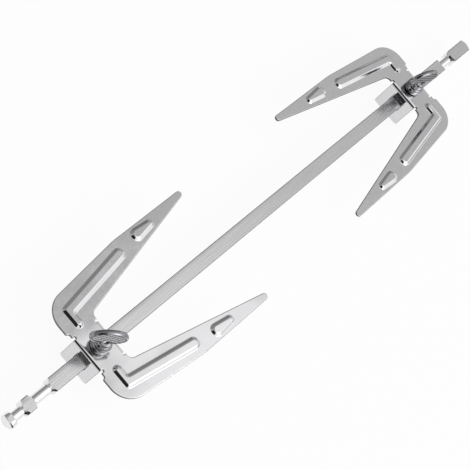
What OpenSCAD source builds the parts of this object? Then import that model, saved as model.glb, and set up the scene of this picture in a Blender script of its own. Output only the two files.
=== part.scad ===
// Rotisserie spit for an oven or a grill: a square bar with turned ends, and two
// stamped forks that slide on it, each clamped by a thumbscrew.
//
// Frame: +X runs along the bar from the support end to the drive end, +Z is up,
// and Z = 0 is the plane that the lower edges of the fork brackets rest on.
// Both forks are the same stamping. It is drawn once, with its tines towards +X, and
// the drive fork is turned half round, so the two pairs of tines face each other.

/* [Bar] */
// Width across the flats of the square bar
bar_w = 8; // [6:0.5:10]
// Length of the spit from end to end
spit_l = 400; // [360:5:500]
// Small chamfer along the four edges of the bar
bar_edge = 0.3; // [0.2:0.1:0.6]
// Diameter of every turned neck
neck_d = 5.5; // [4:0.1:6]
// Diameter of the round head at the support end
head_d = 8.8; // [8.6:0.1:10]

/* [Fork] */
// Thickness of the stamped sheet
sheet_t = 1.5; // [1.2:0.1:1.8]
// Reach of a tine past the middle of its bracket
tine_reach = 96; // [80:1:98]
// Spread of the two tines over their outer edges
tine_spread = 75.5; // [70:0.5:80]
// Height that the pressed ribs stand above the sheet
rib_h = 1.2; // [0.6:0.1:1.4]

/* [Bracket] */
// Length of the bracket along the bar, over its two flanges
bracket_l = 18.2; // [17.6:0.1:19]
// Width of the bracket across the bar
bracket_w = 20; // [18:0.5:21]
// Height of the bracket, from its lower edge to the top of the sheet
bracket_h = 22.5; // [22.3:0.1:24]
// Height of the middle of the bar above the bracket's lower edge
bar_z = 13.5; // [13:0.1:13.6]

/* [Thumbscrew] */
// Thread diameter of the thumbscrew
screw_d = 6; // [5:0.5:6]
// Diameter of the round collar under the paddle
collar_d = 10.6; // [9.5:0.1:12]
// Length of the oval paddle
paddle_l = 20; // [16:0.5:22]
// Height of the oval paddle
paddle_h = 15; // [12:0.5:16]
// Thickness of the paddle at its rim
paddle_t = 3; // [2.6:0.1:3.6]
// Angle of the paddle on the support fork, from the bar
support_turn = -42; // [-90:1:90]
// Angle of the paddle on the drive fork, from the bar
drive_turn = -20; // [-90:1:90]

/* [Places] */
// Middle of the support fork's bracket along the bar
support_fork_x = -140.5; // [-150:0.5:-140]
// Middle of the drive fork's bracket along the bar
drive_fork_x = 133; // [130:0.5:140]

/* [Hidden] */
$fn = 96;
eps = 0.01;

// Turned ends of the bar, from the support end inwards and from the drive end inwards
head_l = 3.6;
handle_neck_l = 6;
support_block_l = 8;
support_neck_l = 10;
drive_block_l = 19;
drive_neck_l = 10.5;
head_chamfer = 0.7;
block_face_r = 3.2;
chamfer_slope = 0.8;
turned_r = bar_w * 0.75;

// Bracket and its bends
bend_r = 2.2;
hole_gap = 0.15;
sheet_z = bracket_h - sheet_t;
bar_top = bar_z + bar_w / 2;

// Outline of one tine, in the fork's own X (along the bar) and Y (across it)
arc_steps = 8;
slot_l = 1.2;
slot_x = bracket_l / 2 - bend_r;
web_x = bracket_l / 2 - 0.5;
back_x = -bracket_l / 2 - 1.1;
shoulder_y = bracket_w / 2 + 3.4;
corner_y = tine_spread / 2 - 6.1;
knee_x = 44.4;
knee_y = tine_spread / 2 - 0.25;
tip_r = 1.9;
tine_root_y = 14.9;
tip_half_angle = 6.28;
tip_point_x = tine_reach - tip_r + tip_r / sin(tip_half_angle);
corner_r = 13;
knee_r = 30;
root_r = 3.4;

// Pressed L-shaped rib and dimple on each tine
press_wall = 1.1;
rib_outer_x = -3.2;
rib_inner_x = 1.4;
rib_foot_y = 12.8;
rib_tip_x = 45.4;
dimple_root_x = 54.3;
dimple_tip_x = 69.7;

// Nut, screw and head
nut_af = 10;
nut_h = 3.2;
nut_z = sheet_z - nut_h;
thread_gap = 0.05;
screw_hole_d = screw_d + 0.6;
shank_z = bar_top + 0.1;
shank_l = 13.4;
shank_chamfer = 0.6;
collar_z = bracket_h + 0.8;
collar_h = 5;
collar_edge = 0.8;
boss_d = 8.6;
boss_top = shank_z + shank_l + 1.5;
paddle_z = bracket_h + 14.3;
paddle_rim = 1.8;
paddle_recess = 0.5;
paddle_steps = 64;

// The points of an arc that rounds the corner at b, between the edges a-b and b-c
function corner_arc(a, b, c, r) =
    let(
        u = (a - b) / norm(a - b),
        v = (c - b) / norm(c - b),
        half = acos(max(-1, min(1, u * v))) / 2,
        mid = (u + v) / norm(u + v),
        centre = b + mid * r / sin(half),
        from = b + u * r / tan(half) - centre,
        to = b + v * r / tan(half) - centre,
        turn = from.x * to.y - from.y * to.x > 0 ? 1 : -1,
        sweep = turn * (180 - 2 * half),
        start = atan2(from.y, from.x)
    )
    [for (i = [0:arc_steps]) centre + r * [cos(start + sweep * i / arc_steps), sin(start + sweep * i / arc_steps)]];

// A closed outline from corners given as [x, y, radius]; a radius of 0 keeps the corner sharp
function rounded(corners) =
    let(n = len(corners))
    [for (i = [0:n - 1])
        let(
            a = corners[(i + n - 1) % n],
            b = corners[i],
            c = corners[(i + 1) % n],
            arc = b.z > 0
                ? corner_arc([a.x, a.y], [b.x, b.y], [c.x, c.y], b.z)
                : [[b.x, b.y]]
        )
        for (p = arc) p];

// The same corners moved inwards by d; the corners run anticlockwise
function inset(corners, d) =
    let(n = len(corners))
    [for (i = [0:n - 1])
        let(
            a = corners[(i + n - 1) % n],
            b = corners[i],
            c = corners[(i + 1) % n],
            u = [b.x - a.x, b.y - a.y] / norm([b.x - a.x, b.y - a.y]),
            v = [c.x - b.x, c.y - b.y] / norm([c.x - b.x, c.y - b.y]),
            shift = ([-u.y, u.x] + [-v.y, v.x]) * d / (1 + u * v)
        )
        [b.x + shift.x, b.y + shift.y, max(b.z - d, 0.4)]];

// Corners of one tine with its half of the bracket's top, anticlockwise
tine = [
    [-slot_x, 0, 0],
    [slot_x, 0, 0],
    [slot_x, bracket_w / 2 + slot_l, 0.4],
    [web_x, bracket_w / 2 + slot_l, 0.3],
    [web_x, tine_root_y, root_r],
    [tip_point_x, tine_spread / 2, tip_r],
    [knee_x, knee_y, knee_r],
    [back_x, corner_y, corner_r],
    [back_x, shoulder_y + 1, 0.8],
    [-web_x, shoulder_y, 0.6],
    [-web_x, bracket_w / 2 + slot_l, 0.3],
    [-slot_x, bracket_w / 2 + slot_l, 0.4]
];

// Corners of the L-shaped rib, anticlockwise
rib = [
    [rib_outer_x, rib_foot_y, 1.6],
    [rib_inner_x, rib_foot_y, 1.6],
    [rib_inner_x, 20.1, 0.8],
    [rib_tip_x, 27.2, 2.8],
    [rib_tip_x - 1, 33.6, 2.8],
    [rib_outer_x, 25.7, 1.4]
];

// Corners of the tapered dimple, anticlockwise
dimple = [
    [dimple_root_x, 28.4, 3.4],
    [dimple_tip_x, 30.9, 1.9],
    [dimple_tip_x, 34.9, 1.9],
    [dimple_root_x, 36.2, 3.4]
];

// Half profile of the turned ends, as [radius, place along the bar]
module turned_profile() {
    x0 = -spit_l / 2;
    x1 = x0 + head_l;
    x2 = x1 + handle_neck_l;
    x3 = x2 + support_block_l;
    x4 = x3 + support_neck_l;
    x7 = spit_l / 2;
    x6 = x7 - drive_block_l;
    x5 = x6 - drive_neck_l;
    cone_l = (turned_r - block_face_r) * chamfer_slope;
    neck_r = neck_d / 2;
    head_r = head_d / 2;
    polygon([
        [0, x0],
        [head_r - head_chamfer, x0],
        [head_r, x0 + head_chamfer],
        [head_r, x1 - head_chamfer / 2],
        [head_r - head_chamfer / 2, x1],
        [neck_r, x1],
        [neck_r, x2],
        [block_face_r, x2],
        [turned_r, x2 + cone_l],
        [turned_r, x3 - cone_l],
        [block_face_r, x3],
        [neck_r, x3],
        [neck_r, x4],
        [block_face_r, x4],
        [turned_r, x4 + cone_l],
        [turned_r, x5],
        [neck_r, x5],
        [neck_r, x6],
        [block_face_r, x6],
        [turned_r, x6 + cone_l],
        [turned_r, x7 - cone_l],
        [block_face_r, x7],
        [0, x7]
    ]);
}

// Cross-section of the bar: a square with small chamfers
module bar_section() {
    half = bar_w / 2;
    near = half - bar_edge;
    polygon([
        [half, -near], [half, near], [near, half], [-near, half],
        [-half, near], [-half, -near], [-near, -half], [near, -half]
    ]);
}

// The square bar with its turned ends
module spit_rod() {
    color([0.80, 0.80, 0.81])
    translate([0, 0, bar_z])
    intersection() {
        translate([-spit_l / 2, 0, 0])
        rotate([90, 0, 90])
        linear_extrude(spit_l)
        bar_section();

        rotate([0, 90, 0])
        rotate_extrude()
        turned_profile();
    }
}

// Side outline of the bracket: a channel open at the bottom, with rounded bends
module bracket_outline(l, h, r) {
    polygon(rounded([
        [-l / 2, 0, 0],
        [l / 2, 0, 0],
        [l / 2, h, r],
        [-l / 2, h, r]
    ]));
}

// The bracket with a square hole in each flange for the bar
module bracket() {
    difference() {
        translate([0, bracket_w / 2, 0])
        rotate([90, 0, 0])
        linear_extrude(bracket_w)
        difference() {
            bracket_outline(bracket_l, bracket_h, bend_r);
            translate([0, -eps])
            bracket_outline(bracket_l - 2 * sheet_t, sheet_z + eps, bend_r - sheet_t);
        }
        hole_w = bar_w + 2 * hole_gap;
        translate([-bracket_l, -hole_w / 2, bar_z - hole_w / 2])
        cube([2 * bracket_l, hole_w, hole_w]);
    }
}

// One tine: the flat sheet with its ribs pressed up from below
module tine_sheet() {
    difference() {
        union() {
            translate([0, 0, sheet_z])
            linear_extrude(sheet_t)
            polygon(rounded(tine));

            for (corners = [rib, dimple])
                translate([0, 0, bracket_h - eps])
                linear_extrude(rib_h + eps)
                polygon(rounded(corners));
        }
        for (corners = [rib, dimple])
            translate([0, 0, sheet_z - eps])
            linear_extrude(rib_h + eps)
            polygon(rounded(inset(corners, press_wall)));
    }
}

// A whole stamped fork: bracket, two tines and the hole for the screw
module fork_plate() {
    color([0.72, 0.72, 0.73])
    difference() {
        union() {
            bracket();
            tine_sheet();
            mirror([0, 1, 0]) tine_sheet();
        }
        translate([0, 0, sheet_z - eps])
        cylinder(h = sheet_t + 2 * eps, d = screw_hole_d);
    }
}

// Thin hexagon nut, welded under the sheet
module clamp_nut() {
    color([0.60, 0.60, 0.62])
    translate([0, 0, nut_z])
    difference() {
        cylinder(h = nut_h, r = nut_af / 2 / cos(30), $fn = 6);
        translate([0, 0, -eps])
        cylinder(h = nut_h + 2 * eps, r = screw_d / 2 + thread_gap);
    }
}

// Threaded shank of the thumbscrew
module screw_shank() {
    color([0.55, 0.55, 0.57])
    translate([0, 0, shank_z])
    rotate_extrude()
    polygon([
        [0, 0],
        [screw_d / 2 - shank_chamfer, 0],
        [screw_d / 2, shank_chamfer],
        [screw_d / 2, shank_l],
        [0, shank_l]
    ]);
}

// Points of an upright oval
function oval(l, h) = [
    for (i = [0:paddle_steps - 1])
        [l / 2 * cos(360 * i / paddle_steps), h / 2 * sin(360 * i / paddle_steps)]
];

// Cast head of the thumbscrew: collar, boss and oval paddle with sunk faces
module screw_head() {
    color([0.45, 0.45, 0.47])
    difference() {
        union() {
            translate([0, 0, collar_z])
            rotate_extrude()
            polygon([
                [0, 0],
                [collar_d / 2 - collar_edge / 2, 0],
                [collar_d / 2, collar_edge / 2],
                [collar_d / 2, collar_h - collar_edge],
                [boss_d / 2, collar_h],
                [boss_d / 2, boss_top - collar_z - 1],
                [boss_d / 2 - 1, boss_top - collar_z],
                [0, boss_top - collar_z]
            ]);

            translate([0, paddle_t / 2, paddle_z])
            rotate([90, 0, 0])
            difference() {
                linear_extrude(paddle_t)
                polygon(oval(paddle_l, paddle_h));
                for (z = [-eps, paddle_t - paddle_recess])
                    translate([0, 0, z])
                    linear_extrude(paddle_recess + eps)
                    polygon(oval(paddle_l - 2 * paddle_rim, paddle_h - 2 * paddle_rim));
            }
        }
        translate([0, 0, collar_z - eps])
        cylinder(h = shank_z + shank_l + thread_gap - collar_z + eps, r = screw_d / 2 + thread_gap);
    }
}

// Places a piece of a fork along the bar, turned about the middle of its screw
module on_bar(x, turn = 0) {
    translate([x, 0, 0])
    rotate([0, 0, turn])
    children();
}

spit_rod();
on_bar(support_fork_x) fork_plate();  // support_fork_plate
on_bar(support_fork_x) clamp_nut();  // support_clamp_nut
on_bar(support_fork_x) screw_shank();  // support_screw_shank
on_bar(support_fork_x, support_turn) screw_head();  // support_screw_head
on_bar(drive_fork_x, 180) fork_plate();  // drive_fork_plate
on_bar(drive_fork_x, 180) clamp_nut();  // drive_clamp_nut
on_bar(drive_fork_x, 180) screw_shank();  // drive_screw_shank
on_bar(drive_fork_x, drive_turn) screw_head();  // drive_screw_head
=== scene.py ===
# %% [markdown]
# # A rotisserie spit with two meat forks
# The object is a square steel bar with turned ends, and two stamped forks that slide along it.
# Each fork is held by a thumbscrew, which runs through a nut under the sheet and bears on the bar.
# The frame holds every part at its real size. This file makes the finished surfaces around it:
# rounded edges, pressed ribs, threads and plated metal. Lengths below are in millimetres.

# %% Tools and the frame
import math

import bmesh
import bpy
import numpy as np
from mathutils import Matrix, Vector
from mathutils.geometry import delaunay_2d_cdt


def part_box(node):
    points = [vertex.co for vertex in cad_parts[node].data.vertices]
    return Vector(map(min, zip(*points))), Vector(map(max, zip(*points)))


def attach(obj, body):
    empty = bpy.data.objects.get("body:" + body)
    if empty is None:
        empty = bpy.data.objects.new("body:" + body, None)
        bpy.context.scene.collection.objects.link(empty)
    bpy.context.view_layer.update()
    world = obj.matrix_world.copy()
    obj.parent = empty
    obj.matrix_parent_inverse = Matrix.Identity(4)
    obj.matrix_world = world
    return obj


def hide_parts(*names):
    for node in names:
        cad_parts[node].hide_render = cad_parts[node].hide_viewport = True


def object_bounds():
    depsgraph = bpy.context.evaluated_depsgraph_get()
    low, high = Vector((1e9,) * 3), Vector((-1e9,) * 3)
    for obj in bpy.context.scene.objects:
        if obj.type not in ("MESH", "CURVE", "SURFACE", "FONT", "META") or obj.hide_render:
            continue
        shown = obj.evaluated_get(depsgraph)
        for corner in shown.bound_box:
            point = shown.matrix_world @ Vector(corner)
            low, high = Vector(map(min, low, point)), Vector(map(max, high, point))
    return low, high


MM = 0.001
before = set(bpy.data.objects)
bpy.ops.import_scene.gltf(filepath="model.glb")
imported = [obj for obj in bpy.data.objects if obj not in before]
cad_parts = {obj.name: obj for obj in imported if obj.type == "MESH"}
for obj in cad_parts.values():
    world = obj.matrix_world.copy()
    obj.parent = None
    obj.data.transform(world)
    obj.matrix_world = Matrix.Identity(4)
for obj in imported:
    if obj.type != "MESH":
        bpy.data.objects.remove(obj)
cad_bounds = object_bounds()
print("CAD nodes:", ", ".join(sorted(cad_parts)))

# %% [markdown]
# ## Small helpers
# A colour is written as a hex value, as on a colour card, and one function turns it to linear
# light. One function adds a node, sets it and links what goes into it, and one does sums.
# They keep the cells below short, so each can be about one material or one piece.

# %% Helpers for colours and nodes
def linear(hex_colour):
    """An sRGB hex colour as the linear RGBA that a shader expects."""
    channels = [int(hex_colour[i:i + 2], 16) / 255 for i in (1, 3, 5)]
    light = [c / 12.92 if c <= 0.04045 else ((c + 0.055) / 1.055) ** 2.4 for c in channels]
    return (*light, 1.0)


def add_node(tree, kind, inputs=None, **settings):
    """Adds a node. A value in inputs is a number, or an output socket to link from."""
    made = tree.nodes.new(kind)
    for name, value in settings.items():
        setattr(made, name, value)
    for place, value in (inputs or {}).items():
        if isinstance(value, bpy.types.NodeSocket):
            tree.links.new(value, made.inputs[place])
        else:
            made.inputs[place].default_value = value
    return made


def maths(tree, operation, a, b, **settings):
    """Adds a maths node and gives its result; a and b are numbers or sockets."""
    return add_node(tree, "ShaderNodeMath", {0: a, 1: b}, operation=operation, **settings).outputs[0]


def per_metre(size_mm):
    """The scale of a texture whose features are about this big, on coordinates in metres."""
    return 1 / (size_mm * MM)


print("mid grey in linear light:", [round(c, 3) for c in linear("#808080")])

# %% [markdown]
# ## Camera
# The view is from above the support end, turned so that the bar runs up the picture from left
# to right. The lens is long, as for a product taken from about three quarters of a metre, so
# the far fork is only a little smaller than the near one. A place, a direction and a roll
# say all of this; looking at an empty would do the same with one more object in the scene.

# %% Camera
CAMERA_PLACE = Vector((-432.9, -12.3, 614.5)) * MM
CAMERA_LOOKS = Vector((0.55683, 0.01677, -0.83046))
CAMERA_ROLL = math.radians(48.46)
CAMERA_LENS = 101.1


def make_camera():
    data = bpy.data.cameras.new("product_camera")
    data.lens = CAMERA_LENS
    data.sensor_width = 36
    camera = bpy.data.objects.new("product_camera", data)
    bpy.context.scene.collection.objects.link(camera)
    upright = CAMERA_LOOKS.to_track_quat("-Z", "Y").to_matrix().to_4x4()
    roll = Matrix.Rotation(CAMERA_ROLL, 4, "Z")
    camera.matrix_world = Matrix.Translation(CAMERA_PLACE) @ upright @ roll
    bpy.context.scene.camera = camera
    return camera


camera = make_camera()
print("camera axes:", [tuple(round(c, 3) for c in row) for row in camera.matrix_world.to_3x3()])

# %% [markdown]
# ## Studio
# Bright plated metal has almost no colour of its own: it shows the room. In a product studio
# one side of the room is a white panel, the side of the camera is dark, and the object stands
# on white. The room is a sky of soft round patches, each with a direction, a size and a
# brightness; the panel is a patch so wide that it fills half the sky. The sky also dims
# towards the horizon, which darkens whatever faces sideways. Area lamps would do too, but
# patches stay where they are for every object and view, and cast no hard edges.

# %% The room
ROOM_LEVEL = 0.58
HORIZON_LEVEL = 0.3
HORIZON_TOP = 0.2
# name: azimuth and height of the middle in degrees, full and faded radius in degrees, brightness
PATCHES = {
    "grey_side": (75, 15, 28, 55, 0.3),
    "panel_side": (-90, 0, 89.2, 92.9, 1.22),
    "far_wall": (0, 44, 9, 14, 0.62),
    "dark_side": (180, 44, 20, 34, 0.02),
    "dark_corner": (-142, 16, 12, 22, 0.1),
}


def make_room():
    world = bpy.data.worlds.new("studio_room")
    bpy.context.scene.world = world
    world.use_nodes = True
    tree = world.node_tree
    tree.nodes.clear()
    direction = add_node(tree, "ShaderNodeTexCoord").outputs["Generated"]
    level = None
    for azimuth, height, full, faded, brightness in PATCHES.values():
        a = math.radians(azimuth)
        h = math.radians(height)
        middle = (math.cos(h) * math.cos(a), math.cos(h) * math.sin(a), math.sin(h))
        facing = add_node(tree, "ShaderNodeVectorMath", {0: direction, 1: middle},
                          operation="DOT_PRODUCT").outputs["Value"]
        mask = add_node(tree, "ShaderNodeMapRange", {
            "Value": facing,
            "From Min": math.cos(math.radians(faded)),
            "From Max": math.cos(math.radians(full)),
        }, interpolation_type="SMOOTHSTEP").outputs["Result"]
        mixed = add_node(tree, "ShaderNodeMix", {
            "Factor": mask,
            "A": ROOM_LEVEL if level is None else level,
            "B": brightness,
        }, data_type="FLOAT")
        level = mixed.outputs["Result"]
    height = add_node(tree, "ShaderNodeSeparateXYZ", {"Vector": direction}).outputs["Z"]
    dimming = add_node(tree, "ShaderNodeMapRange", {
        "Value": height, "From Max": HORIZON_TOP, "To Min": HORIZON_LEVEL,
    }, interpolation_type="SMOOTHSTEP").outputs["Result"]
    background = add_node(tree, "ShaderNodeBackground", {
        "Color": (1, 1, 1, 1), "Strength": maths(tree, "MULTIPLY", level, dimming),
    })
    add_node(tree, "ShaderNodeOutputWorld", {"Surface": background.outputs["Background"]})
    return world


make_room()
print("room patches:", ", ".join(PATCHES))

# %% [markdown]
# ## Floor, lamp and card
# The floor is white paper. What the camera and the metal see of it is lifted towards plain
# white, and the rest is ordinary matt paper, so the object keeps a faint shadow under it. One
# large lamp, high to one side, throws that shadow. Turned cones at the support end face the floor, so a
# strip of black felt lies beside them: reflections see it, and the camera and shadows don't.

# %% Floor, lamp and card
FLOOR_HALF = 4.0
FLOOR_LIFT = 0.93
LAMP_SIDE = 0.9
LAMP_POWER = 6.0
LAMP_PLACE = (0.15, -1.0, 1.1)
CARD_LENGTH = 0.2
CARD_FAR_SIDE = -0.3
CARD_NEAR_SIDE = -0.018
CARD_UNDER_BAR = 0.001
SHEET_GAP = 0.0002


def paper_floor_material():
    material = bpy.data.materials.new("matt_white_paper")
    material.use_nodes = True
    tree = material.node_tree
    tree.nodes.clear()
    path = add_node(tree, "ShaderNodeLightPath")
    camera_or_gloss = maths(tree, "MAXIMUM", path.outputs["Is Camera Ray"],
                            path.outputs["Is Glossy Ray"])
    seen = maths(tree, "MAXIMUM", camera_or_gloss, path.outputs["Is Transmission Ray"])
    lift = maths(tree, "MULTIPLY", seen, FLOOR_LIFT)
    paper = add_node(tree, "ShaderNodeBsdfDiffuse", {"Color": linear("#F4F4F4")})
    glow = add_node(tree, "ShaderNodeEmission", {"Color": (1, 1, 1, 1), "Strength": 1.0})
    mix = add_node(tree, "ShaderNodeMixShader", {
        0: lift, 1: paper.outputs[0], 2: glow.outputs[0],
    })
    add_node(tree, "ShaderNodeOutputMaterial", {"Surface": mix.outputs[0]})
    return material


def flat_sheet(name, x_range, y_range, height, material):
    """A rectangle lying flat at a height, in metres, as part of the studio."""
    (x0, x1), (y0, y1) = x_range, y_range
    mesh = bpy.data.meshes.new(name)
    mesh.from_pydata([(x0, y0, 0), (x1, y0, 0), (x1, y1, 0), (x0, y1, 0)], [], [(0, 1, 2, 3)])
    mesh.materials.append(material)
    sheet = bpy.data.objects.new(name, mesh)
    bpy.context.scene.collection.objects.link(sheet)
    sheet.location.z = height
    return sheet


def make_floor():
    across = (-FLOOR_HALF, FLOOR_HALF)
    height = cad_bounds[0][2] - SHEET_GAP
    floor = flat_sheet("paper_floor", across, across, height, paper_floor_material())
    return floor


def make_lamp():
    data = bpy.data.lights.new("overhead_softbox", "AREA")
    data.shape = "RECTANGLE"
    data.size = LAMP_SIDE
    data.size_y = LAMP_SIDE
    data.energy = LAMP_POWER
    lamp = bpy.data.objects.new("overhead_softbox", data)
    lamp.location = LAMP_PLACE
    lamp.rotation_euler = (-lamp.location).to_track_quat("-Z", "Y").to_euler()
    bpy.context.scene.collection.objects.link(lamp)
    return lamp


def black_felt():
    felt = bpy.data.materials.new("black_felt")
    felt.use_nodes = True
    shader = felt.node_tree.nodes["Principled BSDF"]
    shader.inputs["Base Color"].default_value = linear("#101010")
    shader.inputs["Roughness"].default_value = 0.95
    return felt


def make_black_card():
    low = cad_bounds[0]
    along = (low[0] - CARD_LENGTH, low[0] + CARD_UNDER_BAR)
    card = flat_sheet("black_card", along, (CARD_FAR_SIDE, CARD_NEAR_SIDE), low[2] + SHEET_GAP,
                      black_felt())
    card.visible_camera = False
    card.visible_shadow = False
    card.visible_diffuse = False
    return card


make_floor()
make_lamp()
make_black_card()
bpy.context.scene.view_settings.view_transform = "Standard"
print("floor at", round(cad_bounds[0][2] / MM, 2), "mm")

# %% [markdown]
# ## Metals
# Every piece here is plated or bare steel, so each material is a full metal with the default
# IOR, and they differ in how the surface was made. Roughness says how it was finished, and a
# pattern on the object's own coordinates, with its size in millimetres, says by what.

# %% A metal to start from
def start_metal(name, colour, roughness):
    """A metal with nothing on it yet: its node tree, its shader and its object coordinates."""
    material = bpy.data.materials.new(name)
    material.use_nodes = True
    tree = material.node_tree
    shader = tree.nodes["Principled BSDF"]
    shader.inputs["Metallic"].default_value = 1.0
    shader.inputs["Base Color"].default_value = linear(colour)
    shader.inputs["Roughness"].default_value = roughness
    place = add_node(tree, "ShaderNodeTexCoord").outputs["Object"]
    return material, tree, shader, place


def noise(tree, place, size_mm, detail=2.0, roughness=0.5):
    """A noise from 0 to 1 with features of about this size."""
    return add_node(tree, "ShaderNodeTexNoise", {
        "Vector": place, "Scale": per_metre(size_mm), "Detail": detail, "Roughness": roughness,
    }).outputs["Fac"]


def tint(tree, shader, pattern, low_colour, high_colour):
    """Colours the metal between two hex colours by a pattern."""
    tone = add_node(tree, "ShaderNodeMix", {
        "Factor": pattern, "A": linear(low_colour), "B": linear(high_colour),
    }, data_type="RGBA")
    tree.links.new(tone.outputs["Result"], shader.inputs["Base Color"])


def roughen(tree, shader, pattern, low, high):
    """Lets a pattern set the roughness between two values."""
    tree.links.new(spread(tree, pattern, low, high), shader.inputs["Roughness"])


def bump(tree, shader, height, strength, distance_mm):
    """Lets a pattern stand up from the surface by a distance in millimetres."""
    relief = add_node(tree, "ShaderNodeBump", {
        "Height": height, "Strength": strength, "Distance": distance_mm * MM,
    })
    tree.links.new(relief.outputs["Normal"], shader.inputs["Normal"])


def spread(tree, value, low, high):
    """Turns a pattern that runs from 0 to 1 into one from low to high."""
    return add_node(tree, "ShaderNodeMapRange", {
        "Value": value, "To Min": low, "To Max": high,
    }).outputs["Result"]


# %% [markdown]
# ### Brushed bar
# The bar is cold drawn and then belt ground lengthwise, so its flats carry fine, long, shallow
# lines. Real lines are a few hundredths of a millimetre wide; here they are drawn about half a
# millimetre wide, which is as fine as a view of the whole spit can show. Stretching a noise
# along the bar makes them, and they go into the colour and a slight bump, which smears
# reflections across the bar and leaves them sharp along it, as real brushing does.

# %% Brushed bar steel
def brushed_bar_steel():
    material, tree, shader, place = start_metal("brushed_drawn_bar_steel", "#D6D6D8", 0.2)
    line_width = 0.45
    line_length = 22
    cloud_size = 26
    stretched = add_node(tree, "ShaderNodeMapping", {
        "Vector": place, "Scale": (line_width / line_length, 1, 1),
    }).outputs["Vector"]
    lines = noise(tree, stretched, line_width, roughness=0.55)
    tint(tree, shader, lines, "#C6C6C9", "#E6E6E6")
    roughen(tree, shader, noise(tree, place, cloud_size), 0.15, 0.24)
    bump(tree, shader, lines, 0.6, 0.03)
    return material


# %% [markdown]
# ### Turned ends
# The necks and cones come off a lathe and stay bright: the tool leaves rings round the axis,
# far finer than such a view can show, so they are drawn as faint bands every 0.4 mm along it.

# %% Turned bright steel
def turned_bright_steel():
    material, tree, shader, place = start_metal("turned_bright_steel", "#EAEAEA", 0.13)
    rings = add_node(tree, "ShaderNodeTexWave", {
        "Vector": place, "Scale": per_metre(0.4) / 20, "Distortion": 0.6, "Detail": 1.0,
    }, wave_type="BANDS", bands_direction="X").outputs["Fac"]
    roughen(tree, shader, rings, 0.11, 0.19)
    bump(tree, shader, rings, 0.12, 0.01)
    return material


# %% [markdown]
# ### Chromed sheet
# The forks are pressed from cold rolled sheet and chromed. Plating is bright but it copies the
# sheet below, which is never quite flat after pressing: broad waves of a few hundredths of a
# millimetre bend the reflections, and fine hazing where it was polished makes them a little soft.

# %% Chromed pressed sheet
def chromed_pressed_sheet():
    material, tree, shader, place = start_metal("chromed_pressed_sheet", "#D5D5D7", 0.12)
    wave_size = 34
    haze_size = 2.4
    haze = noise(tree, place, haze_size, detail=4.0, roughness=0.6)
    roughen(tree, shader, haze, 0.07, 0.17)
    tint(tree, shader, haze, "#CECED0", "#DEDEDF")
    bump(tree, shader, noise(tree, place, wave_size, detail=1.5), 1.0, 0.7)
    return material


# %% [markdown]
# ### Sheared edges, with painted edge shade
# A press cuts sheet by tearing the last of it, so a cut edge is rough and matt even under its
# plating. Its colour is also darkened as painted shade, so it reads as a thin dark line round
# every stamping, and it is a material of its own.
# The rounded edges of the bar get a darker, rougher metal: its dark colour is painted shade
# along the rounding of each edge.

# %% Sheared sheet edge and bar edge, with painted shade
# The cut edge: rough, and darkened as painted shade along every cut.
def sheared_edge_shade_metal():
    material, tree, shader, place = start_metal("plated_sheared_edge_painted_shade", "#77777A", 0.42)
    tears = add_node(tree, "ShaderNodeMapping", {
        "Vector": place, "Scale": (1, 1, 0.15),
    }).outputs["Vector"]
    tint(tree, shader, noise(tree, tears, 0.5), "#5C5C5F", "#8E8E91")
    return material


# The bar's rounded edges: a dark colour painted as shade, with a rougher finish.
def bar_edge_shade_steel():
    material, tree, shader, place = start_metal("bar_edge_painted_shade", "#5E5E61", 0.34)
    roughen(tree, shader, noise(tree, place, 2.0), 0.28, 0.42)
    return material


# %% [markdown]
# ### Chromed casting, rolled thread and zinc nut
# The thumbscrew's head is die cast and chromed, so its skin is bright with a slight orange peel
# about a millimetre across. The sunk faces between the rim and the ribs are painted near black,
# as painted shade in the recesses. The shank is plain steel with a rolled thread, duller than
# the chrome, and the nut is zinc plated, paler, with a fine grain.

# %% Casting, thread and nut
def chromed_casting():
    material, tree, shader, place = start_metal("chromed_die_casting", "#8E8E91", 0.14)
    peel = noise(tree, place, 1.1)
    roughen(tree, shader, peel, 0.1, 0.24)
    bump(tree, shader, peel, 0.4, 0.03)
    return material


# Near black metal for the sunk faces between the ribs: painted shade in the recesses.
def recess_shade_metal():
    material, tree, shader, place = start_metal("die_casting_recess_painted_shade", "#222224", 0.36)
    roughen(tree, shader, noise(tree, place, 0.8), 0.3, 0.45)
    return material


def rolled_thread_steel():
    material, tree, shader, place = start_metal("rolled_thread_steel", "#B9B9BC", 0.32)
    grime = noise(tree, place, 1.6, detail=3.0)
    tint(tree, shader, grime, "#9A9A9D", "#D0D0D2")
    roughen(tree, shader, grime, 0.22, 0.42)
    return material


def zinc_plated_nut():
    material, tree, shader, place = start_metal("zinc_plated_steel", "#C9CACD", 0.34)
    grain = add_node(tree, "ShaderNodeTexVoronoi", {
        "Vector": place, "Scale": per_metre(0.5), "Randomness": 1.0,
    }).outputs["Distance"]
    tint(tree, shader, grain, "#D2D3D6", "#B4B6BA")
    roughen(tree, shader, grain, 0.28, 0.42)
    return material


BAR_STEEL = brushed_bar_steel()
TURNED_STEEL = turned_bright_steel()
SHEET_CHROME = chromed_pressed_sheet()
SHEARED_EDGE_SHADE = sheared_edge_shade_metal()
BAR_EDGE_SHADE = bar_edge_shade_steel()
CAST_CHROME = chromed_casting()
RECESS_SHADE = recess_shade_metal()
THREAD_STEEL = rolled_thread_steel()
NUT_ZINC = zinc_plated_nut()
print("materials:", ", ".join(m.name for m in bpy.data.materials))

# %% [markdown]
# ## Shapes with rounded corners
# Stamped and drawn parts are outlines whose corners have radii. An outline here is a list of
# corners, each an (x, y, radius). One function walks round it and puts an arc at each corner
# and points along each straight, and another moves all of it inwards, which gives the
# parallel rings that a pressed rib needs. The corners run anticlockwise.

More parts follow.
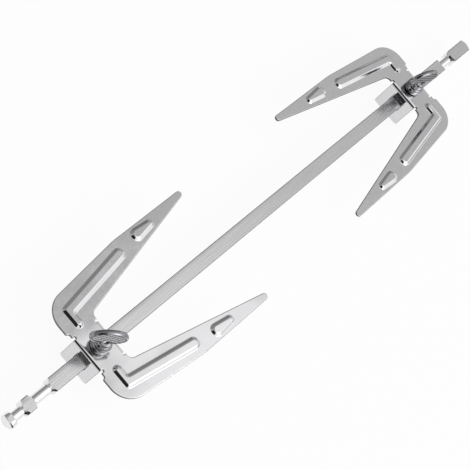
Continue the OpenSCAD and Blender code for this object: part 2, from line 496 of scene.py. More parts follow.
# %% Outlines
def corner_points(before, corner, after, spacing):
    """The points of the arc that rounds one corner."""
    at = Vector(corner[:2])
    u = (Vector(before[:2]) - at).normalized()
    v = (Vector(after[:2]) - at).normalized()
    radius = corner[2]
    if radius <= 0 or abs(u.dot(v)) > 0.9999:
        return [at]
    half = math.acos(max(-1, min(1, u.dot(v)))) / 2
    centre = at + (u + v).normalized() * radius / math.sin(half)
    start = at + u * radius / math.tan(half) - centre
    end = at + v * radius / math.tan(half) - centre
    turn = math.copysign(math.pi - 2 * half, start.x * end.y - start.y * end.x)
    steps = max(3, math.ceil(abs(turn) * radius / spacing), math.ceil(abs(turn) / math.radians(15)))
    return [centre + Matrix.Rotation(turn * i / steps, 2) @ start for i in range(steps + 1)]


def outline(corners, spacing):
    """A closed outline with points no further apart than the spacing."""
    count = len(corners)
    arcs = [corner_points(corners[i - 1], corners[i], corners[(i + 1) % count], spacing)
            for i in range(count)]
    points = []
    for i, arc in enumerate(arcs):
        points += arc
        gap = arcs[(i + 1) % count][0] - arc[-1]
        steps = max(1, math.ceil(gap.length / spacing))
        points += [arc[-1] + gap * k / steps for k in range(1, steps)]
    return points


def inset(corners, depth):
    """The same corners moved inwards, with their radii kept parallel."""
    moved = []
    count = len(corners)
    for i in range(count):
        a, b, c = (Vector(corners[j][:2]) for j in (i - 1, i, (i + 1) % count))
        u = (b - a).normalized()
        v = (c - b).normalized()
        shift = (Vector((-u.y, u.x)) + Vector((-v.y, v.x))) * depth / (1 + u.dot(v))
        bulge = 1 if u.x * v.y - u.y * v.x > 0 else -1
        moved.append((b.x + shift.x, b.y + shift.y, max(corners[i][2] - bulge * depth, 0.05)))
    return moved


def depth_inside(points, ring):
    """How far each point lies inside a closed outline; negative outside."""
    p = np.array([tuple(q)[:2] for q in points])[:, None, :]
    a = np.array([tuple(q) for q in ring])[None, :, :]
    b = np.roll(a, -1, axis=1)
    along = np.clip(((p - a) * (b - a)).sum(2) / ((b - a) ** 2).sum(2), 0, 1)
    distance = np.linalg.norm(p - a - along[..., None] * (b - a), axis=2).min(1)
    rising = (a[..., 1] > p[..., 1]) != (b[..., 1] > p[..., 1])
    with np.errstate(divide="ignore", invalid="ignore"):
        meets = a[..., 0] + (p[..., 1] - a[..., 1]) * (b - a)[..., 0] / (b - a)[..., 1]
    crossings = (rising & (p[..., 0] < meets)).sum(1)
    return np.where(crossings % 2 == 1, distance, -distance)


# %% Making objects
def new_object(name, points, faces, materials, sharp=30):
    """A mesh object in millimetres, with its faces pointing outwards and its sharp edges marked."""
    mesh = bpy.data.meshes.new(name)
    mesh.from_pydata([Vector(p) * MM for p in points], [], faces)
    build = bmesh.new()
    build.from_mesh(mesh)
    bmesh.ops.remove_doubles(build, verts=build.verts, dist=0.001 * MM)
    bmesh.ops.recalc_face_normals(build, faces=build.faces)
    build.to_mesh(mesh)
    build.free()
    for material in materials:
        mesh.materials.append(material)
    made = bpy.data.objects.new(name, mesh)
    bpy.context.scene.collection.objects.link(made)
    smooth_by_angle(mesh, sharp)
    return made


def smooth_by_angle(mesh, angle):
    """Shades smooth, but keeps edges sharper than the angle crisp."""
    mesh.polygons.foreach_set("use_smooth", [True] * len(mesh.polygons))
    mesh.set_sharp_from_angle(angle=math.radians(angle))


def baked(thing, name):
    """The object as its modifiers leave it, as a plain mesh object with none of its own."""
    graph = bpy.context.evaluated_depsgraph_get()
    mesh = bpy.data.meshes.new_from_object(thing.evaluated_get(graph))
    mesh.name = name
    thing.modifiers.clear()
    made = bpy.data.objects.new(name, mesh)
    bpy.context.scene.collection.objects.link(made)
    bpy.data.objects.remove(thing)
    return made


def combined(thing, tool, operation, name):
    """Joins, cuts or intersects one closed solid with another, and bakes the result."""
    cut = thing.modifiers.new("cut", "BOOLEAN")
    cut.object = tool
    cut.operation = operation
    cut.solver = "EXACT"
    made = baked(thing, name)
    bpy.data.objects.remove(tool)
    return made


def turned(profile, segments, axis):
    """The points and faces of a solid of revolution; the profile is (radius, place) pairs that
    start and end on the axis, which is X or Z."""
    points = []
    faces = []
    rings = []
    for radius, place in profile:
        if radius < 1e-6:
            rings.append([len(points)] * segments)
            points.append((0, 0, place))
            continue
        rings.append(list(range(len(points), len(points) + segments)))
        for k in range(segments):
            angle = 2 * math.pi * k / segments
            points.append((radius * math.cos(angle), radius * math.sin(angle), place))
    for low, high in zip(rings, rings[1:]):
        for k in range(segments):
            corner = [low[k], low[(k + 1) % segments], high[(k + 1) % segments], high[k]]
            face = list(dict.fromkeys(corner))
            if len(face) > 2:
                faces.append(face)
    if axis == "X":
        points = [(z, y, -x) for x, y, z in points]
    return points, faces


def extruded(section, start, end, axis):
    """The points and faces of a prism along X with a (y, z) section, or Z with an (x, y) one."""
    count = len(section)
    points = [(x, p[0], p[1]) for x in (start, end) for p in section]
    if axis == "Z":
        points = [(x, y, z) for z, x, y in points]
    faces = [[i, (i + 1) % count, (i + 1) % count + count, i + count] for i in range(count)]
    faces += [list(range(count)), list(range(2 * count - 1, count - 1, -1))]
    return points, faces


# %% [markdown]
# ## The spit
# The bar starts square along its whole length, and a lathe then turns its ends: a round head
# and a neck to carry it at one end, a square block to be driven at the other, and a cone
# wherever the square meets a neck, which leaves the curved shoulders on the flats. It is made
# the same way here: a square bar with rounded edges is intersected with the turned solid.
# Drawing those curved shoulders by hand would be slower and never quite true. Each face then
# takes its finish: ground flats, turned ends, and rounded edges in a darker metal whose colour
# is painted shade.

# %% Sizes of the bar, from the frame
bar_low, bar_high = (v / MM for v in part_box("spit_rod"))
BAR_MIDDLE = round((bar_low.z + bar_high.z) / 2, 3)
BAR_HALF = 4.0
BAR_EDGE = 0.45
NECK_RADIUS = 2.75
TURNED_RADIUS = 6.0
FACE_RADIUS = 3.2
CONE_SLOPE = 0.8
CONE_LENGTH = (TURNED_RADIUS - FACE_RADIUS) * CONE_SLOPE
HEAD_RADIUS = 4.4
EDGE_BREAK = 0.12
# Where each stretch ends, counted from the support end
HEAD_END = 3.6
HANDLE_NECK_END = 9.6
SUPPORT_BLOCK_END = 17.6
SUPPORT_NECK_END = 27.6
# Where each stretch starts, counted from the drive end
DRIVE_BLOCK = 19.0
DRIVE_NECK = 29.5
# Material slots of the bar: the ground flats come first, at 0
TURNED_SLOT = 1
EDGE_SHADE_SLOT = 2


def shoulder(face, towards):
    """The profile where a neck meets a square stretch: broken edge, flat face and cone."""
    return [
        (NECK_RADIUS, face),
        (FACE_RADIUS - EDGE_BREAK, face),
        (FACE_RADIUS, face + towards * EDGE_BREAK * CONE_SLOPE),
        (TURNED_RADIUS, face + towards * CONE_LENGTH),
    ]


def spit_profile():
    x0 = bar_low.x
    x1 = bar_high.x
    head = [
        (0, x0),
        (HEAD_RADIUS - 0.75, x0),
        (HEAD_RADIUS - 0.6, x0 + 0.06),
        (HEAD_RADIUS - 0.06, x0 + 0.6),
        (HEAD_RADIUS, x0 + 0.75),
        (HEAD_RADIUS, x0 + HEAD_END - 0.35),
        (HEAD_RADIUS - 0.12, x0 + HEAD_END - 0.1),
        (HEAD_RADIUS - 0.4, x0 + HEAD_END),
        (NECK_RADIUS + 0.2, x0 + HEAD_END),
        (NECK_RADIUS, x0 + HEAD_END + 0.2),
    ]
    block = shoulder(x0 + HANDLE_NECK_END, 1) + shoulder(x0 + SUPPORT_BLOCK_END, -1)[::-1]
    middle = shoulder(x0 + SUPPORT_NECK_END, 1)
    middle += [(TURNED_RADIUS, x1 - DRIVE_NECK), (NECK_RADIUS, x1 - DRIVE_NECK)]
    drive = shoulder(x1 - DRIVE_BLOCK, 1)
    drive += [(TURNED_RADIUS, x1 - CONE_LENGTH), (FACE_RADIUS, x1), (0, x1)]
    return head + block + middle + drive


# %% Turning the bar
def make_spit():
    half = BAR_HALF
    corners = [(-half, -half, BAR_EDGE), (half, -half, BAR_EDGE),
               (half, half, BAR_EDGE), (-half, half, BAR_EDGE)]
    points, faces = extruded(outline(corners, 2 * half), bar_low.x - 1, bar_high.x + 1, "X")
    metals = [BAR_STEEL, TURNED_STEEL, BAR_EDGE_SHADE]
    square = new_object("square_bar", points, faces, metals)
    points, faces = turned(spit_profile(), 96, "X")
    lathe = new_object("turned_solid", points, faces, metals)
    lathe.data.polygons.foreach_set("material_index", [TURNED_SLOT] * len(lathe.data.polygons))
    spit = combined(square, lathe, "INTERSECT", "ground_spit_bar")
    # Faces slanted round the bar's edges take the edge metal, whose dark colour is painted shade.
    for face in spit.data.polygons:
        slanted = min(abs(face.normal.y), abs(face.normal.z)) > 0.15
        if slanted and abs(face.normal.x) < 0.05 and face.material_index == 0:
            face.material_index = EDGE_SHADE_SLOT
    spit.data.transform(Matrix.Translation((0, 0, BAR_MIDDLE * MM)))
    smooth_by_angle(spit.data, 28)
    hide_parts("spit_rod")
    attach(spit, "spit")
    return spit


spit = make_spit()
print("spit:", len(spit.data.polygons), "faces,", round(spit.dimensions.x / MM, 1), "mm long")

# %% [markdown]
# ## The stamped forks
# Each fork is one piece of sheet: a blank is cut, its ribs are pressed up, and two flanges are
# bent down and punched with square holes for the bar. It is made here in the same order. The
# flat blank is triangulated between its outline and rings that follow each rib, so that the
# triangles run along the pressing and reflections stay smooth. Every point is then lifted by
# how deep it lies inside a rib, dropped by how near it is to a cut edge, and last the
# flanges are folded down. A grid pushed up by a texture would show steps along the ribs.

# %% Sizes of the fork
plate_low, plate_high = (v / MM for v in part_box("support_fork_plate"))
SHEET = 1.5
BRACKET_HALF_LENGTH = 9.1
BRACKET_HALF_WIDTH = 10.0
BRACKET_TOP = 22.5
BEND = 2.2
FOLD_LINE = BRACKET_HALF_LENGTH - BEND
FLANGE = math.pi / 2 * BEND + BRACKET_TOP - BEND
TINE_HALF_SPREAD = (plate_high.y - plate_low.y) / 2
TIP_RADIUS = 1.9
RIB_HEIGHT = 1.2
EDGE_ROLL = 0.4
CUT_BAND = 0.3
SCREW_HOLE = 3.3
BAR_HOLE_HALF = 4.15

# Corners of one tine, from the web's inner edge round the tip to its outer edge
TINE = [
    (FOLD_LINE, 11.2, 0.4),
    (8.6, 11.2, 0.3),
    (8.6, 14.9, 3.4),
    (111.47, TINE_HALF_SPREAD, TIP_RADIUS),
    (44.4, TINE_HALF_SPREAD - 0.25, 30),
    (-10.2, TINE_HALF_SPREAD - 6.1, 13),
    (-10.2, 14.4, 0.8),
    (-8.6, 13.4, 0.6),
    (-8.6, 11.2, 0.3),
    (-FOLD_LINE, 11.2, 0.4),
]
RIB = [
    (-3.2, 12.8, 2.2),
    (1.4, 12.8, 2.2),
    (1.4, 20.1, 0.9),
    (45.4, 27.2, 3.0),
    (44.4, 33.6, 3.0),
    (-3.2, 25.7, 2.0),
]
DIMPLE = [
    (54.3, 28.4, 3.4),
    (69.7, 30.9, 1.9),
    (69.7, 34.9, 1.9),
    (54.3, 36.2, 3.4),
]


def mirrored(corners):
    """The same corners on the other side of the bar, still anticlockwise."""
    return [(x, -y, r) for x, y, r in reversed(corners)]


def blank_corners():
    """The whole flat blank: two tines, and two flanges that are still unfolded."""
    end = FOLD_LINE + FLANGE
    w = BRACKET_HALF_WIDTH
    left = [(end, w, 1.2), (FOLD_LINE, w, 0.4)] + TINE + [(-FOLD_LINE, w, 0.4), (-end, w, 1.2)]
    return left + mirrored(left)


def hole_corners():
    """The two square holes for the bar, in the unfolded flanges."""
    middle = FOLD_LINE + FLANGE - BAR_MIDDLE
    h = BAR_HOLE_HALF
    return [[(s * middle - h, -h, 0.5), (s * middle + h, -h, 0.5),
             (s * middle + h, h, 0.5), (s * middle - h, h, 0.5)] for s in (-1, 1)]


print("blank:", round(2 * (FOLD_LINE + FLANGE), 1), "mm over the unfolded flanges")

# %% Heights of the pressing
RIB_WALL = 1.8
ROLL_RINGS = (0, 0.08, 0.22, EDGE_ROLL, 0.75)
PRESS_RINGS = (-1.2, -0.6, -0.3, -0.1, 0.15, 0.45, 0.8, 1.15, 1.5, 1.85)
# How far apart points stand: along the blank, the holes and the ribs, and between them all
POINT_SPACING = 0.9
HOLE_SPACING = 0.6
PRESS_SPACING = 0.7
FILL_SPACING = 1.5
# The fill keeps this far from a cut, from the foot of a rib and from the wall inside it
CLEAR_OF_CUT = 1.0
CLEAR_OF_FOOT = 1.7
CLEAR_OF_WALL = 2.1
BEND_STEPS = 8
BEND_COLUMNS = 20


def press_height(depth):
    """How high the sheet stands at a depth inside a rib: tight at its foot, full at its crown."""
    t = np.clip((depth + 0.3) / (RIB_WALL + 0.3), 0, 1)
    return RIB_HEIGHT * np.sin(np.pi / 2 * t) ** 1.3


def edge_drop(depth):
    """How far a cut edge rolls over, at a distance from the cut."""
    near = np.clip(EDGE_ROLL - depth, 0, EDGE_ROLL)
    return EDGE_ROLL - np.sqrt(EDGE_ROLL ** 2 - near ** 2)


def folded(point, height):
    """Where a point of the blank ends up, at a height over its outer face, once it is folded."""
    s, y = point
    over = abs(s) - FOLD_LINE
    if over <= 0 or abs(y) > BRACKET_HALF_WIDTH + 0.3:
        return (s, y, BRACKET_TOP + height)
    side = math.copysign(1, s)
    angle = min(over / BEND, math.pi / 2)
    drop = max(0, over - BEND * math.pi / 2)
    reach = BEND + height
    return (side * (FOLD_LINE + reach * math.sin(angle)), y,
            BRACKET_TOP - BEND + reach * math.cos(angle) - drop)


def bent(point, normal):
    """A normal of the flat blank, turned with the sheet where a flange is folded down."""
    over = abs(point[0]) - FOLD_LINE
    if over <= 0 or abs(point[1]) > BRACKET_HALF_WIDTH + 0.3:
        return normal
    angle = math.copysign(min(over / BEND, math.pi / 2), point[0])
    return Matrix.Rotation(angle, 3, "Y") @ normal


def sheet_heights(points, edge, cuts, feet):
    """How far each point is lifted by the pressing and dropped by a cut edge, and its distance
    from the nearest cut."""
    to_cut = depth_inside(points, edge)
    for cut in cuts:
        to_cut = np.minimum(to_cut, -depth_inside(points, cut))
    lift = np.max([press_height(depth_inside(points, foot)) for foot in feet], axis=0)
    return lift, edge_drop(np.maximum(to_cut, 0)), to_cut


def sheet_normals(points, edge, cuts, feet):
    """The true normals of the upper and the lower face, from how the heights change nearby."""
    step = 0.04
    slopes = []
    for shift in ((step, 0), (0, step)):
        ahead = sheet_heights(points + shift, edge, cuts, feet)
        behind = sheet_heights(points - np.array(shift), edge, cuts, feet)
        slopes.append([(ahead[k] - behind[k]) / (2 * step) for k in (0, 1)])
    sides = []
    for sign in (1, -1):
        x = -sign * (slopes[0][0] - sign * slopes[0][1])
        y = -sign * (slopes[1][0] - sign * slopes[1][1])
        sides.append([bent(p, Vector((a, b, sign)).normalized()) for p, a, b in zip(points, x, y)])
    return sides[0] + sides[1]


# %% Pressing one fork
def circle_corners(radius):
    r = radius
    return [(-r, -r, r * 0.999), (r, -r, r * 0.999), (r, r, r * 0.999), (-r, r, r * 0.999)]


def fork_mesh():
    """The points and faces of a fork, with its bracket over the origin and its tines along +X."""
    blank = blank_corners()
    holes = hole_corners() + [circle_corners(SCREW_HOLE)]
    presses = [RIB, DIMPLE, mirrored(RIB), mirrored(DIMPLE)]
    rings = [outline(inset(blank, d), POINT_SPACING) for d in ROLL_RINGS]
    rings += [outline(inset(hole, -d), HOLE_SPACING) for hole in holes for d in ROLL_RINGS]
    rings += [outline(inset(press, d), PRESS_SPACING) for press in presses for d in PRESS_RINGS]

    edge = outline(blank, 0.5)
    cuts = [outline(hole, 0.3) for hole in holes]
    feet = [outline(press, 0.5) for press in presses]
    reach = np.array([tuple(p) for p in edge])
    low = reach.min(0)
    high = reach.max(0)
    rows = np.arange(low[1], high[1], FILL_SPACING * 0.866)
    fill = [(x + (FILL_SPACING / 2 if k % 2 else 0), y)
            for k, y in enumerate(rows) for x in np.arange(low[0], high[0], FILL_SPACING)]
    bends = [side * (FOLD_LINE + BEND * math.pi / 2 * k / BEND_STEPS)
             for side in (-1, 1) for k in range(BEND_STEPS + 1)]
    width = BRACKET_HALF_WIDTH - 1.1
    columns = [(s, y) for s in bends for y in np.linspace(-width, width, BEND_COLUMNS)]
    # In the bends the columns replace the even fill, so that the sheet folds in clean steps
    fill = [p for p in fill
            if abs(abs(p[0]) - FOLD_LINE - 1.7) > 2.3 or abs(p[1]) > BRACKET_HALF_WIDTH + 0.4]
    fill = np.array(fill + columns)
    keep = depth_inside(fill, edge) > CLEAR_OF_CUT
    for cut in cuts:
        keep &= depth_inside(fill, cut) < -CLEAR_OF_CUT
    for foot in feet:
        inside = depth_inside(fill, foot)
        keep &= (inside < -CLEAR_OF_FOOT) | (inside > CLEAR_OF_WALL)

    flat = []
    edges = []
    for ring in rings:
        first = len(flat)
        flat += [Vector((p[0], p[1])) for p in ring]
        edges += [(first + i, first + (i + 1) % len(ring)) for i in range(len(ring))]
    flat += [Vector(p) for p in fill[keep]]
    points, _, triangles, *_ = delaunay_2d_cdt(flat, edges, [], 0, 1e-5)

    middles = np.array([sum((points[i] for i in t), Vector((0, 0))) / 3 for t in triangles])
    inside = depth_inside(middles, [tuple(p) for p in rings[0]]) > 0
    for number in range(len(holes)):
        hole_ring = rings[len(ROLL_RINGS) * (1 + number)]
        inside &= depth_inside(middles, hole_ring) < 0
    triangles = [t for t, good in zip(triangles, inside) if good]

    flat_points = np.array([tuple(p) for p in points])
    lift, drop, to_cut = sheet_heights(flat_points, edge, cuts, feet)
    top = [folded(p, lift[i] - drop[i]) for i, p in enumerate(points)]
    under = [folded(p, lift[i] - SHEET + drop[i]) for i, p in enumerate(points)]
    normals = sheet_normals(flat_points, edge, cuts, feet)

    count = len(points)
    faces = [list(t) for t in triangles] + [[i + count for i in reversed(t)] for t in triangles]
    sides = [pair for t in triangles for pair in zip(t, (*t[1:], t[0]))]
    known = set(sides)
    faces += [[b, a, a + count, b + count] for a, b in sides if (b, a) not in known]
    # Sides and faces within CUT_BAND of a cut take the sheared edge: rough, with painted shade.
    rough_shaded = [len(f) == 4 or max(to_cut[i % count] for i in f) < CUT_BAND for f in faces]
    used = sorted({i for f in faces for i in f})
    place = {old: new for new, old in enumerate(used)}
    both = top + under
    return ([both[i] for i in used], [[place[i] for i in f] for f in faces], rough_shaded,
            [normals[i] for i in used])


fork_points, fork_faces, fork_rough_shaded, fork_normals = fork_mesh()
print("fork:", len(fork_points), "points,", len(fork_faces), "faces")

# %% [markdown]
# The two forks are the same stamping. The one at the drive end is turned half round, so that
# their tines face each other and grip the meat from both ends.

# %% Both forks
FORKS = {"support": 0, "drive": 180}


def fork_place(end):
    """Where a fork's own origin goes: the middle of its screw, on the floor."""
    low, high = (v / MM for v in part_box(f"{end}_screw_shank"))
    return Vector(((low.x + high.x) / 2, (low.y + high.y) / 2, 0))


def put(thing, end, degrees):
    """Moves a finished mesh from the fork's own origin to its place in the frame."""
    turn = Matrix.Rotation(math.radians(degrees), 4, "Z")
    thing.data.transform(Matrix.Translation(fork_place(end) * MM) @ turn)


def make_fork(end, degrees):
    fork = new_object(f"{end}_fork_stamping", fork_points, fork_faces,
                      [SHEET_CHROME, SHEARED_EDGE_SHADE], sharp=50)
    assert len(fork.data.polygons) == len(fork_rough_shaded), "a face of the blank was lost"
    # Faces near a cut take the sheared edge metal, darkened as painted shade.
    fork.data.polygons.foreach_set("material_index", [int(r) for r in fork_rough_shaded])
    true_normals = []
    for face in fork.data.polygons:
        side = len(face.vertices) == 4
        true_normals += [face.normal if side else fork_normals[i] for i in face.vertices]
    fork.data.normals_split_custom_set(true_normals)
    put(fork, end, degrees)
    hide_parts(f"{end}_fork_plate")
    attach(fork, f"{end}_fork")
    return fork


for end, degrees in FORKS.items():
    fork = make_fork(end, degrees)
    print(fork.name, "triangles:", sum(len(p.vertices) - 2 for p in fork.data.polygons))

# %% [markdown]
# ## Nuts
# A thin hexagon nut is welded under each fork, because the sheet alone is too thin to hold a
# thread. A real nut is cut from hexagon bar and its corners are turned away at 30 degrees, so
# a hexagon is intersected with a turned disc. The chamfer curves follow by themselves.

# %% Hexagon nuts
NUT_THREAD_RADIUS = 3.05


def make_nut(end):
    low, high = (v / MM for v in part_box(f"{end}_clamp_nut"))
    across_flats = min(high.x - low.x, high.y - low.y)
    corner = across_flats / math.sqrt(3)
    thread = NUT_THREAD_RADIUS
    bottom, top = low.z, high.z
    turns = [math.radians(60 * k) for k in range(6)]
    hexagon = [(corner * math.cos(turn), corner * math.sin(turn), 0.3) for turn in turns]
    points, faces = extruded(outline(hexagon, 3), bottom, top, "Z")
    block = new_object("hexagon", points, faces, [NUT_ZINC])
    slope = math.tan(math.radians(30))
    face_radius = across_flats / 2 * 0.96
    reach = corner + 0.2
    chamfer = (reach - face_radius) * slope
    profile = [(thread + 0.5, bottom), (face_radius, bottom), (reach, bottom + chamfer),
               (reach, top - chamfer), (face_radius, top), (thread + 0.5, top),
               (thread, top - 0.5), (thread, bottom + 0.5)]
    points, faces = turned(profile + profile[:1], 64, "Z")
    disc = new_object("chamfered_disc", points, faces, [NUT_ZINC])
    nut = combined(block, disc, "INTERSECT", f"{end}_hexagon_nut")
    smooth_by_angle(nut.data, 25)
    put(nut, end, 0)
    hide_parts(f"{end}_clamp_nut")
    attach(nut, f"{end}_fork")
    return nut


for end in FORKS:
    nut = make_nut(end)
    print(nut.name, "faces:", len(nut.data.polygons))

# %% [markdown]
# ## Threaded shanks
# The thread is rolled, a V-shaped ridge that climbs one millimetre a turn. A helix follows a
# rule, so Geometry Nodes draw it: a spiral curve carries a small V section, and a plain core
# with a chamfered end goes inside it. Its crest, pitch and length are inputs of the tree.

# %% Thread tree
THREAD_PITCH = 1.0
THREAD_CREST = 3.0
THREAD_DEPTH = 0.55


def geometry_tree(name, inputs):
    """An empty geometry tree with a mesh input and output and named float or integer inputs."""
    tree = bpy.data.node_groups.new(name, "GeometryNodeTree")
    tree.interface.new_socket("Geometry", in_out="INPUT", socket_type="NodeSocketGeometry")
    for label, kind in inputs.items():
        tree.interface.new_socket(label, in_out="INPUT", socket_type=kind)
    tree.interface.new_socket("Geometry", in_out="OUTPUT", socket_type="NodeSocketGeometry")
    return tree, tree.nodes.new("NodeGroupInput"), tree.nodes.new("NodeGroupOutput")


def finish_tree(tree, out, geometry, material):
    """Ends a tree: real geometry, in its metal."""
    real = add_node(tree, "GeometryNodeRealizeInstances", {"Geometry": geometry})
    metal = add_node(tree, "GeometryNodeSetMaterial", {
        "Geometry": real.outputs[0], "Material": material,
    })
    tree.links.new(metal.outputs[0], out.inputs[0])


def triple(tree, x=0.0, y=0.0, z=0.0):
    """Three numbers or sockets as one vector socket."""
    return add_node(tree, "ShaderNodeCombineXYZ", {"X": x, "Y": y, "Z": z}).outputs[0]


def moved(tree, geometry, **change):
    """Geometry after a Translation, Rotation or Scale."""
    return add_node(tree, "GeometryNodeTransform", {"Geometry": geometry, **change}).outputs[0]


def run_tree(thing, tree, values):
    """Puts the tree on an object as a modifier and sets its inputs by their identifiers."""
    modifier = thing.modifiers.new(tree.name, "NODES")
    modifier.node_group = tree
    for item in tree.interface.items_tree:
        if item.item_type == "SOCKET" and item.in_out == "INPUT" and item.name in values:
            modifier[item.identifier] = values[item.name]
    return modifier


def thread_tree():
    number = "NodeSocketFloat"
    tree, given, out = geometry_tree("rolled_thread", {
        "Root radius": number, "Depth": number, "Pitch": number, "Turns": number, "Start": number,
    })
    length = maths(tree, "MULTIPLY", given.outputs["Pitch"], given.outputs["Turns"])
    spiral = add_node(tree, "GeometryNodeCurveSpiral", {
        "Resolution": 36, "Rotations": given.outputs["Turns"],
        "Start Radius": given.outputs["Root radius"], "End Radius": given.outputs["Root radius"],
        "Height": length,
    })
    section = add_node(tree, "GeometryNodeMeshCircle", {"Vertices": 4, "Radius": 1.0})
    section_curve = add_node(tree, "GeometryNodeMeshToCurve", {"Mesh": section.outputs["Mesh"]})
    half_pitch = maths(tree, "MULTIPLY", given.outputs["Pitch"], 0.46)
    size = triple(tree, given.outputs["Depth"], half_pitch, 1.0)
    shaped = moved(tree, section_curve.outputs["Curve"], Scale=size)
    upright = add_node(tree, "GeometryNodeSetCurveNormal", {"Curve": spiral.outputs["Curve"]})
    ridge = add_node(tree, "GeometryNodeCurveToMesh", {
        "Curve": upright.outputs["Curve"], "Profile Curve": shaped,
        "Fill Caps": True,
    })
    lift = triple(tree, z=given.outputs["Start"])
    lifted = moved(tree, ridge.outputs["Mesh"], Translation=lift)
    joined = add_node(tree, "GeometryNodeJoinGeometry", {"Geometry": lifted})
    tree.links.new(given.outputs["Geometry"], joined.inputs["Geometry"])
    finish_tree(tree, out, joined.outputs[0], THREAD_STEEL)
    return tree


THREAD_TREE = thread_tree()
print("thread:", THREAD_PITCH, "mm pitch,", THREAD_DEPTH, "mm deep")

# %% Threaded shanks
def make_shank(end):
    low, high = (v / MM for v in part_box(f"{end}_screw_shank"))
    root = THREAD_CREST - THREAD_DEPTH
    profile = [(0, low.z), (root - 0.5, low.z), (root, low.z + 0.5), (root, high.z), (0, high.z)]
    points, faces = turned(profile, 48, "Z")
    core = new_object("thread_core", points, faces, [THREAD_STEEL])
    turns = (high.z - low.z - 1.2) / THREAD_PITCH
    run_tree(core, THREAD_TREE, {
        "Root radius": root * MM, "Depth": THREAD_DEPTH * MM, "Pitch": THREAD_PITCH * MM,
        "Turns": turns, "Start": (low.z + 0.6) * MM,
    })
    shank = baked(core, f"{end}_threaded_shank")
    smooth_by_angle(shank.data, 30)
    put(shank, end, 0)
    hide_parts(f"{end}_screw_shank")
    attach(shank, f"{end}_screw")
    return shank


for end in FORKS:
    shank = make_shank(end)
    print(shank.name, "faces:", len(shank.data.polygons))

# %% [markdown]
# ## Thumbscrew heads
# The head is one casting: a round collar, a short boss and an upright oval paddle with a
# rounded rim and slanting grip ribs on both faces. The ribs repeat, so Geometry Nodes set them
# out: a row of points across the oval, each with a rounded bar cut to the length that the oval
# leaves there. Collar, paddle and ribs are then remeshed into one skin and smoothed a
# little, which gives the soft inner corners that a casting has. Faces that lie deep between
# the ribs get a near black metal, which is painted shade in the recesses.

# %% Rib tree
PADDLE_HALF = (10.0, 7.5)
PADDLE_MIDDLE = 36.8
PADDLE_HALF_THICK = 1.5
RIM_WIDTH = 1.5
RIB_COUNT = 5
RIB_PITCH = 3.0
RIB_RADIUS = 0.66
RIB_SLANT = 25
RIB_SINK = 0.84
RIB_MARGIN = 1.4
# Faces nearer the paddle's middle plane than this, inside the rim, take the painted recess shade.
SHADE_WITHIN = 1.0
RECESS_SHADE_SLOT = 1
HEAD_BORE = 3.05
HEAD_BORE_TOP = 31.05
COLLAR_RADIUS = 5.3
BOSS_RADIUS = 4.2
NECK_TOP = 32.5
VOXEL = 0.2
HEAD_TURNS = {"support": -42, "drive": -20}


def rib_tree():
    number = "NodeSocketFloat"
    tree, given, out = geometry_tree("grip_ribs", {
        "Count": "NodeSocketInt", "Pitch": number, "Rib radius": number, "Reach": number,
        "Half thickness": number, "Slant": number, "Squeeze": number,
    })
    row = add_node(tree, "GeometryNodeMeshLine", {"Count": given.outputs["Count"]}, mode="OFFSET")
    index = add_node(tree, "GeometryNodeInputIndex")
    last = maths(tree, "SUBTRACT", given.outputs["Count"], 1)
    half_last = maths(tree, "MULTIPLY", last, 0.5)
    step = maths(tree, "SUBTRACT", index.outputs[0], half_last)
    offset = maths(tree, "MULTIPLY", step, given.outputs["Pitch"])
    across = maths(tree, "DIVIDE", offset, given.outputs["Reach"])
    square = maths(tree, "MULTIPLY", across, across)
    rest = maths(tree, "SUBTRACT", 1.0, square, use_clamp=True)
    share = maths(tree, "POWER", rest, 0.5)
    half_length = maths(tree, "MULTIPLY", share, given.outputs["Reach"])
    placed = add_node(tree, "GeometryNodeSetPosition", {
        "Geometry": row.outputs["Mesh"], "Position": triple(tree, offset),
    })
    bar = add_node(tree, "GeometryNodeMeshCylinder", {
        "Vertices": 16, "Side Segments": 1, "Fill Segments": 1,
        "Radius": given.outputs["Rib radius"], "Depth": 2.0,
    })
    bars = add_node(tree, "GeometryNodeInstanceOnPoints", {
        "Points": placed.outputs["Geometry"], "Instance": bar.outputs["Mesh"],
        "Scale": triple(tree, 1.0, 1.0, half_length),
    })
    slant = triple(tree, y=given.outputs["Slant"])
    slanted = moved(tree, bars.outputs["Instances"], Rotation=slant)
    real = add_node(tree, "GeometryNodeRealizeInstances", {"Geometry": slanted})
    squeeze = triple(tree, 1.0, 1.0, given.outputs["Squeeze"])
    flat = moved(tree, real.outputs[0], Scale=squeeze)
    both = add_node(tree, "GeometryNodeJoinGeometry")
    for side in (-1, 1):
        shift = maths(tree, "MULTIPLY", given.outputs["Half thickness"], side)
        face = moved(tree, flat, Translation=triple(tree, y=shift))
        tree.links.new(face, both.inputs[0])
    finish_tree(tree, out, both.outputs[0], CAST_CHROME)
    return tree


RIB_TREE = rib_tree()
print("grip ribs:", RIB_COUNT, "on each face,", RIB_PITCH, "mm apart")

# %% Paddle and collar
def paddle_mesh():
    """An upright oval with a rounded rim and sunk faces; its middle plane is Y = 0.
    Its profile is (distance in from the oval's edge, distance from the middle plane)."""
    half = PADDLE_HALF_THICK
    side = [(0, 0), (0.12, 0.75), (0.4, half * 0.88), (0.75, half), (1.1, half * 0.9),
            (RIM_WIDTH, half * 0.55), (RIM_WIDTH + 0.4, half * 0.45)]
    profile = [(d, -t) for d, t in reversed(side[1:])] + side
    segments = 72
    points = []
    for d, t in profile:
        for k in range(segments):
            angle = 2 * math.pi * k / segments
            points.append(((PADDLE_HALF[0] - d) * math.cos(angle), t,
                           PADDLE_MIDDLE + (PADDLE_HALF[1] - d) * math.sin(angle)))
    faces = []
    for r in range(len(profile) - 1):
        for k in range(segments):
            n = (k + 1) % segments
            faces.append([r * segments + k, r * segments + n,
                          (r + 1) * segments + n, (r + 1) * segments + k])
    faces.append(list(range(segments)))
    faces.append(list(range((len(profile) - 1) * segments, len(profile) * segments)))
    return points, faces


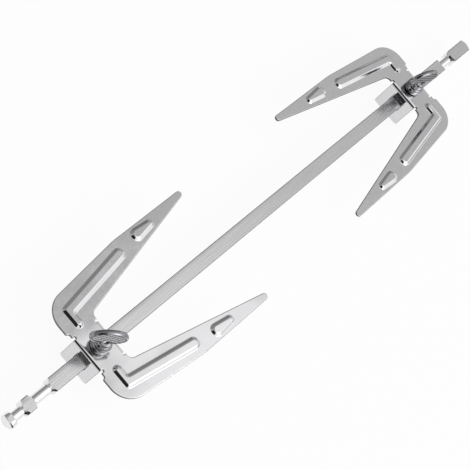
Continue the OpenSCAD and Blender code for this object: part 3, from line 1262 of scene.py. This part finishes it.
def collar_mesh(low_z):
    """The collar and boss, with the blind hole that the shank sits in."""
    profile = [
        (0, HEAD_BORE_TOP), (HEAD_BORE, HEAD_BORE_TOP), (HEAD_BORE, low_z),
        (COLLAR_RADIUS - 0.4, low_z), (COLLAR_RADIUS, low_z + 0.4),
        (COLLAR_RADIUS, low_z + 3.9), (COLLAR_RADIUS - 0.2, low_z + 4.5),
        (BOSS_RADIUS + 0.3, low_z + 4.95), (BOSS_RADIUS + 0.1, low_z + 5.3),
        (BOSS_RADIUS, NECK_TOP - 1.3), (BOSS_RADIUS - 0.6, NECK_TOP - 0.3),
        (BOSS_RADIUS - 1.8, NECK_TOP), (0, NECK_TOP),
    ]
    return turned(profile, 72, "Z")


# %% Casting the heads
def make_head(end):
    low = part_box(f"{end}_screw_head")[0] / MM
    paddle = new_object("paddle", *paddle_mesh(), [CAST_CHROME])
    collar = new_object("collar", *collar_mesh(low.z), [CAST_CHROME])
    holder = new_object("ribs", [(0, 0, 0)], [], [CAST_CHROME])
    run_tree(holder, RIB_TREE, {
        "Count": RIB_COUNT, "Pitch": RIB_PITCH * MM, "Rib radius": RIB_RADIUS * MM,
        "Reach": (PADDLE_HALF[0] - RIB_MARGIN) * MM, "Half thickness": RIB_SINK * MM,
        "Slant": math.radians(90 + RIB_SLANT),
        "Squeeze": (PADDLE_HALF[1] - RIB_MARGIN) / (PADDLE_HALF[0] - RIB_MARGIN),
    })
    ribs = baked(holder, "grip_ribs")
    ribs.data.transform(Matrix.Translation((0, 0, PADDLE_MIDDLE * MM)))
    build = bmesh.new()
    for part in (paddle, collar, ribs):
        build.from_mesh(part.data)
    build.to_mesh(paddle.data)
    build.free()
    bpy.data.objects.remove(collar)
    bpy.data.objects.remove(ribs)
    skin = paddle.modifiers.new("skin", "REMESH")
    skin.mode = "VOXEL"
    skin.voxel_size = VOXEL * MM
    soften = paddle.modifiers.new("soften", "SMOOTH")
    soften.factor = 0.5
    soften.iterations = 2
    head = baked(paddle, f"{end}_thumb_head")
    head.data.materials.clear()
    head.data.materials.append(CAST_CHROME)
    head.data.materials.append(RECESS_SHADE)
    # Faces inside the rim and near the middle plane, deep between the ribs, get the painted recess
    # shade.
    inner = [half - RIM_WIDTH + 0.3 for half in PADDLE_HALF]
    for face in head.data.polygons:
        across, depth, up = face.center / MM
        sunk = math.hypot(across / inner[0], (up - PADDLE_MIDDLE) / inner[1]) < 1
        if sunk and abs(depth) < SHADE_WITHIN:
            face.material_index = RECESS_SHADE_SLOT
    smooth_by_angle(head.data, 180)
    put(head, end, HEAD_TURNS[end])
    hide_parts(f"{end}_screw_head")
    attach(head, f"{end}_screw_head")
    return head


for end in FORKS:
    head = make_head(end)
    print(head.name, "triangles:", sum(len(p.vertices) - 2 for p in head.data.polygons))
